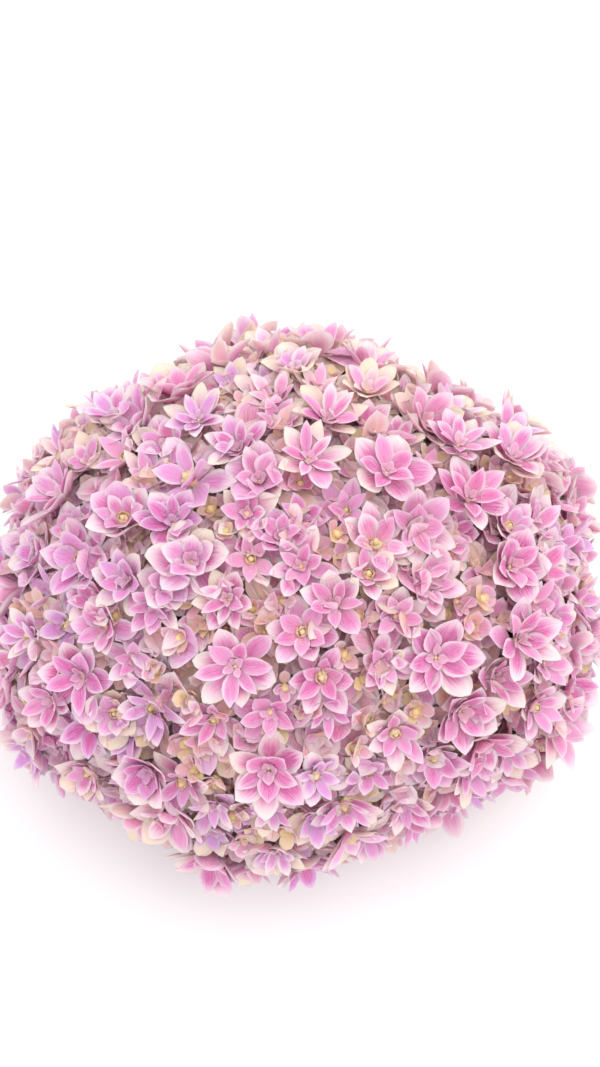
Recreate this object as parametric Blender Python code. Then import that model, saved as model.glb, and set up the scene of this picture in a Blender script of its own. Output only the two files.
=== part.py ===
"""A double-flowered hydrangea head, picked with a short stalk and resting on its lowest florets.

Metres, +Z up. The origin is the centre of the box on the surface that the head rests on.
Two pieces: flower_head is the dome of double florets, fused to the dense mat of pedicels under them,
and cut_stalk is the green stalk with the rays that spread inside the head and carry that mat.
"""

import math
import random

import bmesh
import bpy
import numpy as np
from mathutils import Matrix, Vector

# Driving dimensions of the head, measured to the throats of the florets
SEAT_HALF_WIDTH = 0.1005
SEAT_HALF_DEPTH = 0.0915
CROWN_RISE = 0.076
UNDER_DROP = 0.058
EQUATOR_HEIGHT = 0.0480
LOWEST_SEAT_ANGLE = math.radians(127)

# The head bulges where its sprays crowd outwards: share of the radius, number of bulges, first bulge
BULGES = ((0.024, 6, math.radians(26)), (0.013, 3, math.radians(-2)), (0.013, 4, math.radians(-3)))

# Florets, larger than life by nearly a half, so that fewer of them still cover the dome
FLORET_COUNT = 97
PETAL_COUNTS = (5, 5, 6, 4)
PETAL_LENGTH = 0.0235
PETAL_WIDTHS = {4: 0.0183, 5: 0.0160, 6: 0.0143}
PETAL_THICKNESS = 0.0009
ROOT_DEPTH = 0.019
RECEPTACLE_RADIUS = 0.0021

# The outer sepals: how steeply they rise, and the shoulders where each is widest
OUTER_RAISE = math.radians(24)
OUTER_NOTCH_RADIUS = 0.0039
SHOULDER_SHARE = 0.54
SHOULDER_RISE = 0.0016
SHOULDER_SECTOR_SHARE = 0.9

# The inner sepals, the throat that they stand in and the bud in it
INNER_RAISE = math.radians(54)
INNER_SHARE = 0.63
INNER_NOTCH_RADIUS = 0.0052
THROAT_RADIUS = 0.0026
THROAT_HEIGHT = 0.0012
BUD_RISE = 0.0042

# How far one floret differs from another, from least to most
SEED = 11
FLORET_SIZES = (0.86, 1.08)
THROAT_OFFSETS = (-0.003, 0.002)
AZIMUTH_SHIFTS = (-0.06, 0.06)
OUTER_LENGTHS = (0.88, 1.08)
INNER_LENGTHS = (0.85, 1.10)
RAISE_CHANGES = (math.radians(-7), math.radians(7))
MOST_LEAN = math.radians(9)
NEIGHBOUR_CLEARANCE = 0.0002
NEIGHBOUR_REACH = 3 * PETAL_LENGTH

# The mat of pedicels under the florets, and the open space inside it where the rays spread
MAT_DEPTH = 0.0100
HOLLOW_SCALE = (0.66, 0.66, 0.62)
MOUTH_RADIUS = 0.050

# Stalk and rays
STALK_RADIUS = 0.0042
STALK_CUT_HEIGHT = 0.0040
FORK_HEIGHT = 0.040
RAY_COUNT = 6
RAY_RADIUS = 0.0017
RAY_POLARS = (math.radians(34), math.radians(58))
FIRST_RAY_AZIMUTH = math.radians(26)
RAY_ROOT_DEPTH = 0.006
RAY_SAG = 0.004
RAY_SOCKET_DEPTH = 0.0050
SOCKET_CLEARANCE = 0.0003

# Cutters reach at least this far past what they cut
CUTTER_REACH = 0.08

GOLDEN_ANGLE = math.pi * (3 - math.sqrt(5))
EQUATOR_CENTRE = Vector((0, 0, EQUATOR_HEIGHT))


def clear_scene():
    for found in list(bpy.data.objects):
        bpy.data.objects.remove(found)


def collection_named(name):
    made = bpy.data.collections.new(name)
    bpy.context.scene.collection.children.link(made)
    return made


def remove_collection(unwanted):
    for found in list(unwanted.objects):
        bpy.data.objects.remove(found)
    bpy.data.collections.remove(unwanted)


def finish(name, colour, roughness):
    material = bpy.data.materials.new(name)
    material.use_nodes = True
    shader = material.node_tree.nodes["Principled BSDF"]
    shader.inputs["Base Color"].default_value = (*colour, 1)
    shader.inputs["Roughness"].default_value = roughness
    return material


def bulge(azimuth):
    """How far the head's outline stands out at this azimuth, as a factor near 1."""
    return 1 + sum(share * math.cos(count * (azimuth - first)) for share, count, first in BULGES)


def drop_from_equator(above):
    return CROWN_RISE if above else UNDER_DROP


def seat(polar, azimuth, sink=0.0):
    """The point of the dome at a polar angle from the crown, sunk under the throats by a depth."""
    out = bulge(azimuth) * math.sin(polar)
    return EQUATOR_CENTRE + Vector((
        (SEAT_HALF_WIDTH - sink) * out * math.cos(azimuth),
        (SEAT_HALF_DEPTH - sink) * out * math.sin(azimuth),
        (drop_from_equator(polar < math.pi / 2) - sink) * math.cos(polar),
    ))


def outward(point):
    """The dome's outward direction at a point of it, as on an ellipsoid."""
    arm = point - EQUATOR_CENTRE
    return Vector((
        arm.x / SEAT_HALF_WIDTH**2,
        arm.y / SEAT_HALF_DEPTH**2,
        arm.z / drop_from_equator(arm.z > 0) ** 2,
    )).normalized()


def polar_angles(count):
    """Polar angles that give each floret the same area of the dome, from the crown to the lowest row."""
    steps = np.linspace(0, LOWEST_SEAT_ANGLE, 400)
    radius = 0.5 * (SEAT_HALF_WIDTH + SEAT_HALF_DEPTH) * np.sin(steps)
    height = np.where(steps < math.pi / 2, CROWN_RISE, UNDER_DROP) * np.cos(steps)
    area = np.concatenate([[0], np.cumsum(np.hypot(np.diff(radius), np.diff(height)) * radius[1:])])
    return np.interp((np.arange(count) + 0.5) / count * area[-1], area, steps)


def polar_point(radius, angle, height):
    return Vector((radius * math.cos(angle), radius * math.sin(angle), height))


def ring(radius, sides, height):
    return [polar_point(radius, 2 * math.pi * k / sides, height) for k in range(sides)]


def outer_outline(petals, size, draw):
    """The outline of the outer sepals seen from its throat: notch, shoulder, tip and shoulder of each.

    A point at a distance along a sepal stands at that distance times the slope, and the shoulders stand
    a little over the midrib, which folds each sepal along its length."""
    points = []
    step = 2 * math.pi / petals
    for k in range(petals):
        along = step * k
        reach = PETAL_LENGTH * size * draw.uniform(*OUTER_LENGTHS)
        slope = math.tan(OUTER_RAISE + draw.uniform(*RAISE_CHANGES))
        notch = OUTER_NOTCH_RADIUS / math.cos(step / 2)
        points.append(polar_point(notch, along - step / 2, notch * slope))
        for share, side in ((SHOULDER_SHARE, -1), (1.0, 0), (SHOULDER_SHARE, 1)):
            forward = reach * share * math.cos(OUTER_RAISE)
            most_across = forward * math.tan(SHOULDER_SECTOR_SHARE * step / 2)
            across = side * min(PETAL_WIDTHS[petals] * size / 2, most_across)
            height = forward * slope + abs(side) * SHOULDER_RISE
            points.append(polar_point(math.hypot(forward, across), along + math.atan2(across, forward), height))
    return points


def inner_outline(petals, size, draw):
    """The outline of the inner sepals, a notch and a tip of each, turned to stand between the outer ones."""
    points = []
    step = 2 * math.pi / petals
    for k in range(petals):
        reach = PETAL_LENGTH * INNER_SHARE * size * draw.uniform(*INNER_LENGTHS)
        points.append(polar_point(INNER_NOTCH_RADIUS, step * k, INNER_NOTCH_RADIUS * math.tan(INNER_RAISE)))
        points.append(polar_point(reach * math.cos(INNER_RAISE), step * (k + 0.5), reach * math.sin(INNER_RAISE)))
    return points


def add_points(mesh, points):
    return [mesh.verts.new(point) for point in points]


def fan(mesh, loop, apex, upward):
    """Triangles from each edge of a loop to an apex."""
    for a, b in zip(loop, loop[1:] + loop[:1]):
        mesh.faces.new((a, b, apex) if upward else (b, a, apex))


def hull_wall(mesh, lower, upper):
    """The side of the outer sepals: from the under outline, a notch and a tip to a sepal, up to the upper one.

    The shoulders overhang the under outline, so each sepal is keeled like a boat."""
    for k in range(len(lower) // 2):
        notch, tip, next_notch = (lower[(2 * k + i) % len(lower)] for i in range(3))
        top_notch, shoulder, top_tip, far_shoulder, top_next = (upper[(4 * k + i) % len(upper)] for i in range(5))
        mesh.faces.new((notch, tip, shoulder))
        mesh.faces.new((tip, top_tip, shoulder))
        mesh.faces.new((notch, shoulder, top_notch))
        mesh.faces.new((tip, next_notch, far_shoulder))
        mesh.faces.new((next_notch, top_next, far_shoulder))
        mesh.faces.new((tip, far_shoulder, top_tip))


def web(mesh, inner, outline):
    """The upper blades from a small ring, one point to a sepal, to the outline of four points to a sepal."""
    for k, here in enumerate(inner):
        after = inner[(k + 1) % len(inner)]
        blade = [outline[(4 * k + i) % len(outline)] for i in range(5)]
        for a, b in zip(blade, blade[1:]):
            mesh.faces.new((here, a, b))
        mesh.faces.new((here, blade[4], after))


def under_web(mesh, inner, outline):
    """The under side from a small ring, one point to a sepal, to an outline of a notch and a tip to a sepal."""
    for k, here in enumerate(inner):
        after = inner[(k + 1) % len(inner)]
        notch, tip, next_notch = (outline[(2 * k + i) % len(outline)] for i in range(3))
        for a, b, c in ((here, notch, tip), (here, tip, after), (after, tip, next_notch)):
            mesh.faces.new((c, b, a))


def keep_clear(mesh, centre, neighbours):
    """Draws in each point that is nearer to a neighbour's throat than to this one's, so that no two florets cross."""
    for vert in mesh.verts:
        arm = vert.co - centre
        share = 1.0
        for other in neighbours:
            gap = other - centre
            reach = arm.dot(gap.normalized())
            limit = gap.length / 2 - NEIGHBOUR_CLEARANCE
            if reach > limit:
                share = min(share, limit / reach)
        vert.co = centre + arm * share


def floret(name, place, neighbours, petals, size, draw):
    """One double floret as a single closed body, a loft from its root up through two rings of sepals to the bud.

    From below: root point, receptacle ring, under and upper outlines of the outer sepals, throat ring,
    outline of the inner sepals, and the bud's tip."""
    mesh = bmesh.new()
    outer = outer_outline(petals, size, draw)
    inner = inner_outline(petals, size, draw)
    under = Vector((0, 0, -PETAL_THICKNESS / math.cos(OUTER_RAISE)))
    root = mesh.verts.new((0, 0, -ROOT_DEPTH))
    receptacle = add_points(mesh, ring(RECEPTACLE_RADIUS, petals, under.z))
    under_outer = add_points(mesh, [point + under for point in outer[0::2]])
    upper_outer = add_points(mesh, outer)
    throat = add_points(mesh, ring(THROAT_RADIUS, petals, THROAT_HEIGHT))
    upper_inner = add_points(mesh, inner)
    bud = mesh.verts.new((0, 0, BUD_RISE))
    fan(mesh, receptacle, root, upward=False)
    under_web(mesh, receptacle, under_outer)
    hull_wall(mesh, under_outer, upper_outer)
    web(mesh, throat, upper_outer)
    under_web(mesh, throat, upper_inner)
    fan(mesh, upper_inner, bud, upward=True)
    mesh.transform(place)
    keep_clear(mesh, place.translation, neighbours)
    return object_of(name, mesh)


def object_of(name, mesh):
    data = bpy.data.meshes.new(name)
    mesh.to_mesh(data)
    mesh.free()
    return bpy.data.objects.new(name, data)


def place_florets(collection):
    """Florets on a golden-angle spiral that gives each the same area, leaning and turned at random."""
    draw = random.Random(SEED)
    throats = []
    for k, polar in enumerate(polar_angles(FLORET_COUNT)):
        point = seat(polar, GOLDEN_ANGLE * k + draw.uniform(*AZIMUTH_SHIFTS))
        throats.append(point + outward(point) * draw.uniform(*THROAT_OFFSETS))
    for k, throat in enumerate(throats):
        lean = Vector([draw.uniform(-1, 1) for _ in range(3)]) * math.tan(MOST_LEAN)
        direction = (outward(throat) + lean).normalized()
        tilt = direction.to_track_quat("Z", "Y").to_matrix().to_4x4()
        place = Matrix.Translation(throat) @ tilt @ Matrix.Rotation(draw.uniform(0, math.tau), 4, "Z")
        neighbours = [other for other in throats if 0 < (other - throat).length < NEIGHBOUR_REACH]
        size = draw.uniform(*FLORET_SIZES)
        made = floret(f"floret_{k}", place, neighbours, draw.choice(PETAL_COUNTS), size, draw)
        collection.objects.link(made)


def dome(name, sink, scale, subdivisions):
    """A ball carried onto the head's own dome shape, sunk under the throats, then scaled about the equator's centre."""
    mesh = bmesh.new()
    bmesh.ops.create_icosphere(mesh, subdivisions=subdivisions, radius=1)
    for vert in mesh.verts:
        polar = math.acos(max(-1, min(1, vert.co.z)))
        point = seat(polar, math.atan2(vert.co.y, vert.co.x), sink)
        vert.co = scaled_from_centre(point, scale)
    return object_of(name, mesh)


def scaled_from_centre(point, scale):
    arm = point - EQUATOR_CENTRE
    return EQUATOR_CENTRE + Vector((arm.x * scale[0], arm.y * scale[1], arm.z * scale[2]))


def cylinder(name, radius, low, high, sides):
    mesh = bmesh.new()
    bmesh.ops.create_cone(
        mesh, cap_ends=True, segments=sides, radius1=radius, radius2=radius, depth=high - low,
        matrix=Matrix.Translation((0, 0, (low + high) / 2)),
    )
    return object_of(name, mesh)


def as_cutter(made, collection):
    collection.objects.link(made)
    made.hide_render = True
    made.display_type = "WIRE"
    return made


def ray_route(k, beyond):
    """A ray's line: it leaves the fork, sags a little outwards and ends sunk in the mat by a depth."""
    azimuth = 2 * math.pi * k / RAY_COUNT + FIRST_RAY_AZIMUTH
    on_mat = seat(RAY_POLARS[k % 2], azimuth, MAT_DEPTH)
    hollow_wall = scaled_from_centre(on_mat, HOLLOW_SCALE)
    start = Vector((0, 0, FORK_HEIGHT - RAY_ROOT_DEPTH))
    middle = start.lerp(hollow_wall, 0.5) - Vector((0, 0, RAY_SAG))
    onwards = (hollow_wall - middle).normalized()
    return [start, middle, hollow_wall + onwards * beyond]


def tube(name, points, radius):
    """A round rod along a line of points, closed at both ends and made a mesh."""
    curve = bpy.data.curves.new(name, "CURVE")
    curve.dimensions = "3D"
    curve.bevel_depth = radius
    curve.bevel_resolution = 1
    curve.use_fill_caps = True
    spline = curve.splines.new("POLY")
    spline.points.add(len(points) - 1)
    for target, point in zip(spline.points, points):
        target.co = (*point, 1)
    rod = bpy.data.objects.new(name, curve)
    bpy.context.scene.collection.objects.link(rod)
    bpy.context.view_layer.update()
    data = bpy.data.meshes.new_from_object(rod.evaluated_get(bpy.context.evaluated_depsgraph_get()))
    bpy.data.objects.remove(rod)
    mesh = bmesh.new()
    mesh.from_mesh(data)
    bmesh.ops.remove_doubles(mesh, verts=mesh.verts, dist=0.00001)
    bmesh.ops.recalc_face_normals(mesh, faces=mesh.faces)
    return object_of(name, mesh)


def boolean(target, name, operation, other=None, collection=None):
    modifier = target.modifiers.new(name, "BOOLEAN")
    modifier.operation = operation
    if collection is None:
        modifier.object = other
        return
    modifier.operand_type = "COLLECTION"
    modifier.collection = collection


def apply_modifiers(target):
    graph = bpy.context.evaluated_depsgraph_get()
    data = bpy.data.meshes.new_from_object(target.evaluated_get(graph))
    target.modifiers.clear()
    target.data = data


def make_stalk(parts):
    """The cut stalk up to the fork, with its rays fused to it."""
    rays = collection_named("rays")
    for k in range(RAY_COUNT):
        rays.objects.link(tube(f"ray_{k}", ray_route(k, RAY_SOCKET_DEPTH), RAY_RADIUS))
    stalk = cylinder("cut_stalk", STALK_RADIUS, STALK_CUT_HEIGHT, FORK_HEIGHT, sides=10)
    parts.objects.link(stalk)
    boolean(stalk, "join rays", "UNION", collection=rays)
    apply_modifiers(stalk)
    remove_collection(rays)
    stalk.data.materials.append(finish("stalk_green", (0.30, 0.38, 0.13), 0.6))


def make_head(parts):
    """The mat of pedicels with its hollow and sockets, the florets fused to it, and the flats that it rests on."""
    cutters = collection_named("cutters")
    florets = collection_named("florets")
    head = dome("flower_head", MAT_DEPTH, (1, 1, 1), subdivisions=3)
    parts.objects.link(head)
    hollow = as_cutter(dome("hollow_cutter", MAT_DEPTH, HOLLOW_SCALE, subdivisions=2), cutters)
    mouth = as_cutter(cylinder("mouth_cutter", MOUTH_RADIUS, -CUTTER_REACH, EQUATOR_HEIGHT, sides=16), cutters)
    boolean(head, "hollow", "DIFFERENCE", hollow)
    boolean(head, "mouth", "DIFFERENCE", mouth)
    for k in range(RAY_COUNT):
        route = ray_route(k, RAY_SOCKET_DEPTH + SOCKET_CLEARANCE)
        socket = as_cutter(tube(f"socket_cutter_{k}", route, RAY_RADIUS + SOCKET_CLEARANCE), cutters)
        boolean(head, f"socket {k}", "DIFFERENCE", socket)
    place_florets(florets)
    boolean(head, "join florets", "UNION", collection=florets)
    surface = as_cutter(cylinder("surface_cutter", 2 * SEAT_HALF_WIDTH, -CUTTER_REACH, 0, sides=8), cutters)
    boolean(head, "rest on the surface", "DIFFERENCE", surface)
    apply_modifiers(head)
    remove_collection(florets)
    remove_collection(cutters)
    head.data.materials.clear()
    head.data.materials.append(finish("sepal_pink", (0.72, 0.36, 0.55), 0.5))


def centre_on_origin(parts):
    """Moves both pieces sideways together, so that the origin is under the middle of the head's box."""
    corners = [vert.co for part in parts.objects for vert in part.data.vertices]
    middle = [(min(c[i] for c in corners) + max(c[i] for c in corners)) / 2 for i in (0, 1)]
    for part in parts.objects:
        part.data.transform(Matrix.Translation((-middle[0], -middle[1], 0)))


def main():
    clear_scene()
    parts = collection_named("hydrangea_flower_head")
    make_stalk(parts)
    make_head(parts)
    centre_on_origin(parts)


main()
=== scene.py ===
"""The looks of a double-flowered hydrangea head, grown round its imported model.

The head is a dome of double florets. Each floret is two rings of sepals, a third ring of tiny ones and a
bud. Young florets and closed buds fill the gaps, and pedicels join them all to the branching stalk inside.
"""

import functools
import math
from types import SimpleNamespace

import bpy
import numpy as np
from bpy.props import FloatProperty, FloatVectorProperty, IntProperty, PointerProperty
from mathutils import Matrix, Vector


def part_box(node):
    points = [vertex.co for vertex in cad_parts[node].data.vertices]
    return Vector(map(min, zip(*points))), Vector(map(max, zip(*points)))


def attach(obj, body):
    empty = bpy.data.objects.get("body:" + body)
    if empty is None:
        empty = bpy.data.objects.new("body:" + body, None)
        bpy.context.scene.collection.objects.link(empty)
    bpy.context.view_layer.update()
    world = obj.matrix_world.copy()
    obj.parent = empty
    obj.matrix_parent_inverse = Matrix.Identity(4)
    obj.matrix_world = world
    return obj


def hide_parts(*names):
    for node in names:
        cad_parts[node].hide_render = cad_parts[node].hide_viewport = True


bl_info = {
    "name": "Hydrangea flower head",
    "version": (1, 0, 0),
    "blender": (4, 5, 0),
    "location": "3D View > Sidebar > Hydrangea",
    "description": "Grows a double-flowered hydrangea head from sepals, buds, pedicels and a cut stalk",
    "category": "Add Mesh",
}

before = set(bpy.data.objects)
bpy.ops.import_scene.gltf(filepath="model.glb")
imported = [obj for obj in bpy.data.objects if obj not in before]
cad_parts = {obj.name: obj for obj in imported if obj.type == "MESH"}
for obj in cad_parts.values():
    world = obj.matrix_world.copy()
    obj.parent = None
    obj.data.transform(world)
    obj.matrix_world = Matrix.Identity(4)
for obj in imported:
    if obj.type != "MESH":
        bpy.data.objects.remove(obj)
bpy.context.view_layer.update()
HEAD_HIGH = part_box("flower_head")[1]

MM = 0.001
# A distance or size that counts as none
NO_GAP = 1e-6
GOLDEN_ANGLE = math.pi * (3 - math.sqrt(5))

# The photograph's frame, and where in it the head's centre lies
PHOTO_WIDTH = 600
PHOTO_HEIGHT = 1067
CENTRE_PIXEL = (292, 593)
SENSOR_WIDTH = 36.0

# Soft studio light: the room's colour and strength, an overhead lamp in metres and watts, and the picture's
# gamma. The floor reaches this far in metres to each side
ROOM_COLOUR = "FAF8FA"
ROOM_LIGHT = 1.165
LAMP_WIDTH = 1.2
LAMP_WATTS = 6.8
LAMP_PLACE = (0.25, 0.12, 1.1)
LAMP_AIM = (0, 0, 0.06)
GAMMA = 1.18
FLOOR_REACH = 3.0

# The outline bulges where the sprays crowd outwards: share of the radius, number of bulges, first bulge
BULGES = ((0.042, 6, math.radians(27)), (0.020, 3, math.radians(-12)), (0.012, 4, math.radians(5)))
SPRAYS = 6
# How many places on the dome are tried for a floret
TRIES = 4000
# How far a floret leans from the dome's normal, as a standard deviation: an open one, and any other
OPEN_LEAN = math.radians(13)
LEAN = math.radians(14)
# How far throats stand above the dome, from and to in mm, and what landmarks add or have instead
OPEN_LIFT = (-3.0, 1.0)
YOUNG_LIFT = (-2.8, 0.0)
LOWER_LIFT = (-4.6, -1.8)
LANDMARK_LIFT = 4.0 * MM
YOUNG_LANDMARK_LIFT = 0.3 * MM
# The sepals of a young floret, as a share of an open one's
YOUNG_SHARE = 0.58
# What the core of an open floret looks like, and the radius and height of the bud in it in mm
STAR, CONE, BUD = 0, 1, 2
OPEN_BUDS = np.array([(0.75, 1.9), (1.6, 6.2), (1.6, 3.2)])
# Where painted light begins to make margins wide and pale, behind and before the centre, and over what span
PAINTED_LIGHT_BEHIND = (14 * MM, 56 * MM)
PAINTED_LIGHT_BEFORE = (72 * MM, 25 * MM)
# How many pixels the middle of a landmark's sepals lies from its throat where it faces right aside
FULL_TURN_PIXELS = 20
# How much more the sepals of a shut floret climb, how much higher the inner ring counts where sepals lie on
# each other, how near they have to be for that, and how far they may climb then
SHUT_CLIMB = math.radians(24)
INNER_RISE = 2.2 * MM
STACKED_WITHIN = 12 * MM
STACKED_CLIMB = (math.radians(-30), math.radians(50))
# Ranges that all rings share: two powers that shape a blade's half width, the height of the waves at its
# margin as a share of its width, their length in radians, and how far it twists and bends aside in radians
BLADE_RANGES = {
    "shoulder": (0.85, 1.10),
    "point": (0.66, 1.02),
    "ripple": (0.0, 0.08),
    "waves": (4.0, 9.0),
    "twist": (-0.25, 0.25),
    "sweep": (-0.14, 0.14),
}
# The first two places of every template: the point at its start and the one at its end
ENDS = np.array([(0, 0, 0), (1, 0, 0)], float)
# The nodes under the sprays from which the pedicels spread
PEDICEL_NODES = 46

# Open florets that the photograph shows plainly. Each row gives the throat's pixel (x, y), how many pixels
# to the right and down of it the middle of its sepals lies, which tells the way it faces, its span in
# pixels, the way of one sepal in degrees, its openness (under 0 for a bell), lilac share and depth of pink,
# and its core (0 star, 1 cone, 2 bud)
OPEN_LANDMARKS = (
    (327, 420, 7, -22, 80, 115, 0.6, 0.1, 0.9, 0), (277, 420, 3, -15, 62, 150, 0.4, 0.25, 0.5, 1),
    (307, 460, 12, -12, 80, 140, 0.8, 0.1, 0.8, 0), (388, 472, 5, -12, 86, 135, 0.85, 0.1, 0.8, 0),
    (258, 477, 0, -5, 74, 88, 0.9, 0.25, 0.4, 0), (238, 447, -10, -8, 70, 110, 0.6, 0.6, 0.6, 0),
    (295, 368, -2, -20, 56, 100, 0.45, 0.6, 0.6, 0), (231, 378, 0, -5, 46, 60, 0.4, 0.8, 0.2, 2),
    (266, 374, 2, -8, 48, 70, 0.5, 0.6, 0.2, 2), (210, 362, 4, -18, 54, 95, 0.5, 0.5, 0.5, 0),
    (367, 392, 0, -10, 62, 40, 0.6, 0.1, 0.1, 2), (246, 511, -2, 2, 62, 150, 0.95, 0.15, 0.5, 2),
    (301, 513, 0, -10, 54, 60, 0.6, 0.3, 0.8, 0), (281, 534, -2, -8, 52, 110, 0.7, 0.3, 0.4, 0),
    (348, 507, 3, -8, 60, 70, 0.5, 0.25, 0.2, 1), (378, 545, 0, -18, 80, 160, 0.4, 0.15, 0.5, 1),
    (302, 565, -5, 0, 72, 185, 0.95, 0.15, 0.4, 2), (335, 606, -8, -14, 72, 100, 0.6, 0.15, 0.5, 0),
    (303, 633, -2, 0, 72, 170, 0.9, 0.1, 0.5, 1), (372, 577, 0, -12, 64, 150, 0.4, 0.1, 0.4, 1),
    (228, 600, -15, -5, 62, 175, 0.5, 0.2, 0.7, 0), (236, 665, -3, 0, 84, 105, 0.95, 0.15, 0.7, 0),
    (383, 665, 4, 4, 60, 160, 0.8, 0.2, 0.3, 2), (322, 677, 0, 5, 74, 185, 0.85, 0.1, 0.6, 1),
    (270, 715, -2, 14, 64, 235, 0.6, 0.1, 0.4, 2), (212, 723, -5, 6, 64, 275, 0.7, 0.2, 0.6, 1),
    (328, 710, 2, 15, 70, 250, 0.55, 0.5, 0.6, 0), (397, 733, 0, 8, 72, 200, 0.7, 0.2, 0.5, 1),
    (268, 771, 0, 2, 90, 90, 1.0, 0.15, 0.9, 0), (315, 780, 5, 2, 62, 260, 0.7, 0.8, 0.1, 1),
    (372, 778, -5, 0, 62, 150, 0.6, 0.4, 0.3, 1), (460, 447, 0, -20, 72, 165, 0.55, 0.25, 0.6, 0),
    (512, 460, 5, -20, 84, 150, 0.6, 0.3, 0.7, 0), (486, 426, 3, -20, 52, 95, 0.4, 0.5, 0.8, 0),
    (469, 502, 0, -18, 88, 95, 0.6, 0.05, 1.0, 0), (403, 432, 0, -15, 54, 60, 0.5, 0.2, 0.6, 1),
    (457, 532, 4, -6, 48, 60, 0.6, 0.1, 1.0, 0), (510, 528, 8, -12, 56, 90, 0.4, 0.35, 0.3, 1),
    (511, 567, 5, 0, 84, 5, 0.9, 0.1, 0.9, 0), (433, 583, 12, 0, 70, 30, 0.7, 0.1, 0.3, 2),
    (405, 582, 0, -6, 50, 80, 0.6, 0.15, 0.5, 0), (517, 641, 15, -8, 90, 100, 0.8, 0.15, 0.7, 0),
    (402, 619, 0, 2, 66, 20, 0.9, 0.1, 0.3, 2), (563, 549, 2, -6, 54, 60, 0.5, 0.5, 0.3, 1),
    (555, 620, 8, -10, 54, 60, 0.5, 0.4, 0.5, 0), (440, 661, 0, 0, 90, 70, 0.95, 0.1, 1.0, 0),
    (467, 717, 10, 5, 86, 265, 0.85, 0.1, 0.9, 0), (503, 683, 15, 0, 72, 60, 0.8, 0.15, 0.6, 0),
    (438, 762, 2, 8, 72, 225, 0.6, 0.35, 0.4, 1), (472, 775, 8, 5, 62, 270, 0.6, 0.3, 0.3, 2),
    (541, 710, 12, 5, 62, 315, 0.6, 0.2, 0.2, 1), (550, 665, 10, 0, 54, 340, 0.6, 0.15, 0.1, 2),
    (515, 757, 10, 8, 58, 300, 0.6, 0.3, 0.2, 2), (112, 418, 0, -18, 76, 170, 0.55, 0.85, 0.7, 0),
    (197, 420, -4, -8, 68, 150, 0.6, 0.7, 0.3, 0), (50, 445, -6, -12, 50, 120, 0.4, 1.0, 0.5, 0),
    (45, 487, -8, -10, 50, 150, 0.5, 1.0, 0.5, 0), (85, 460, -5, -8, 52, 160, 0.6, 0.4, 0.4, 0),
    (145, 478, 5, -10, 68, 145, 0.6, 0.3, 0.1, 1), (122, 522, 0, -15, 74, 150, 0.65, 0.4, 0.4, 1),
    (170, 523, 5, -8, 74, 180, 0.7, 0.6, 0.8, 0), (65, 530, -5, -8, 62, 150, 0.6, 0.4, 0.3, 2),
    (112, 541, -18, 0, 62, 185, 0.5, 0.3, 0.9, 0), (188, 562, 2, -5, 88, 120, 0.85, 0.35, 0.4, 0),
    (125, 581, -10, 0, 74, 165, 0.85, 0.6, 0.5, 0), (166, 584, 8, 5, 60, 345, 0.7, 0.4, 0.2, 1),
    (150, 605, 0, 10, 62, 280, 0.7, 0.3, 0.3, 2), (100, 627, -12, 5, 62, 175, 0.6, 0.4, 0.5, 2),
    (125, 664, 0, 5, 54, 270, 0.6, 0.3, 0.3, 2), (74, 680, -5, 0, 86, 170, 0.9, 0.35, 0.9, 0),
    (105, 720, 0, 2, 62, 80, 0.5, 0.3, 0.1, 1), (30, 635, -6, 0, 60, 60, 0.6, 0.6, 0.4, 1),
    (45, 703, -12, 0, 66, 175, 0.6, 0.2, 0.8, 0), (92, 600, -15, 0, 60, 160, 0.5, 0.3, 0.9, 0),
    (152, 766, -12, 12, 76, 245, 0.6, 0.4, 0.9, 0), (183, 780, -8, 12, 76, 195, 0.6, 0.5, 0.7, 1),
    (84, 776, -8, 8, 56, 215, 0.5, 0.2, 0.5, 1), (105, 795, -4, 12, 50, 250, 0.5, 0.9, 0.4, 0),
    (160, 832, 2, 14, 62, 200, -0.3, 0.5, 0.0, 2), (212, 806, -2, 15, 64, 240, -0.3, 0.6, 0.2, 2),
    (210, 834, 2, 16, 58, 250, -0.3, 1.0, 0.3, 0), (122, 741, -10, 5, 60, 200, 0.6, 0.7, 0.1, 2),
    (270, 816, 0, 14, 58, 250, -0.3, 0.5, 0.2, 1), (277, 855, 0, 14, 58, 270, -0.5, 0.8, 0.3, 0),
    (318, 825, 0, 10, 54, 240, -0.3, 0.7, 0.2, 2), (345, 806, 2, 18, 80, 200, -0.2, 0.45, 0.5, 1),
    (407, 806, 2, 15, 60, 250, -0.3, 0.45, 0.5, 0), (368, 838, 3, 10, 46, 260, -0.3, 0.4, 0.2, 2),
)
# Young florets that it shows: the bud's pixel, the span in pixels and how yellow-green they still are
YOUNG_LANDMARKS = (
    (253, 607, 30, 1.0), (396, 377, 34, 1.0), (246, 408, 34, 0.6), (262, 431, 34, 0.5), (227, 534, 34, 0.5),
    (302, 534, 30, 0.1), (336, 535, 42, 0.0), (358, 617, 46, 0.2), (342, 651, 48, 0.1), (361, 677, 42, 0.1),
    (285, 686, 34, 0.2), (268, 676, 30, 0.5), (362, 716, 42, 0.4), (217, 773, 42, 0.3), (447, 537, 34, 0.8),
    (478, 598, 38, 0.2), (470, 628, 42, 0.0), (416, 711, 44, 0.0), (575, 588, 44, 0.6), (505, 482, 42, 0.0),
    (22, 518, 44, 0.1), (180, 639, 46, 0.1), (155, 672, 38, 0.4), (36, 729, 50, 0.3), (196, 697, 44, 0.1),
    (200, 762, 44, 0.2), (95, 768, 38, 0.5), (235, 811, 38, 0.4), (213, 511, 34, 0.3), (118, 615, 32, 0.5),
)


def linear(hex_colour):
    """An sRGB colour written in hex, as linear red, green and blue."""
    srgb = np.array([int(hex_colour[i:i + 2], 16) for i in (0, 2, 4)]) / 255
    return tuple(np.where(srgb <= 0.04045, srgb / 12.92, ((srgb + 0.055) / 1.055) ** 2.4).tolist())


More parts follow.
